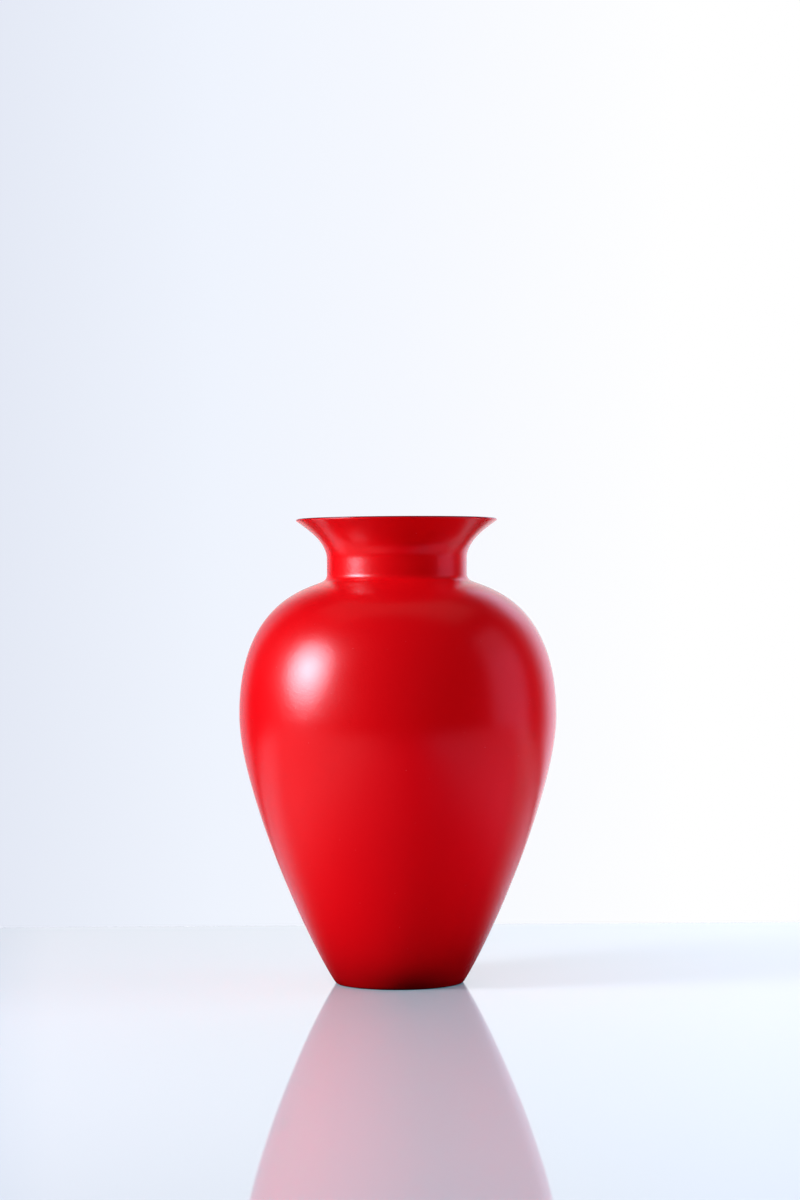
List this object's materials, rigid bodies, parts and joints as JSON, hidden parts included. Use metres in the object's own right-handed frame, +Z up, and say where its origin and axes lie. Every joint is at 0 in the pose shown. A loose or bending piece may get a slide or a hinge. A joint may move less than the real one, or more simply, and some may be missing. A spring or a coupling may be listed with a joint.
{
  "type": "vase",
  "caption": "Cased glass vase: ovoid body on a small foot, sharp shoulder, short upright neck and trumpet mouth, satin red outside over dark ruby glass.",
  "frame": {"origin": "centre of the foot, on the surface that the vase stands on", "axes": "+Z up along the axis of the vase; it is a solid of revolution, so X and Y are any two directions across it"},
  "size_m": [0.205, 0.205, 0.3],
  "materials": {
    "ruby_glass": "fire-polished, glossy, dark ruby that looks opaque because the red casing backs it",
    "satin_red_glass": "opaque vivid red, etched to a fine-grained satin"
  },
  "bodies": {
    "root": {"inner_glass": "ruby_glass", "red_casing": "satin_red_glass"}
  },
  "joints": []
}
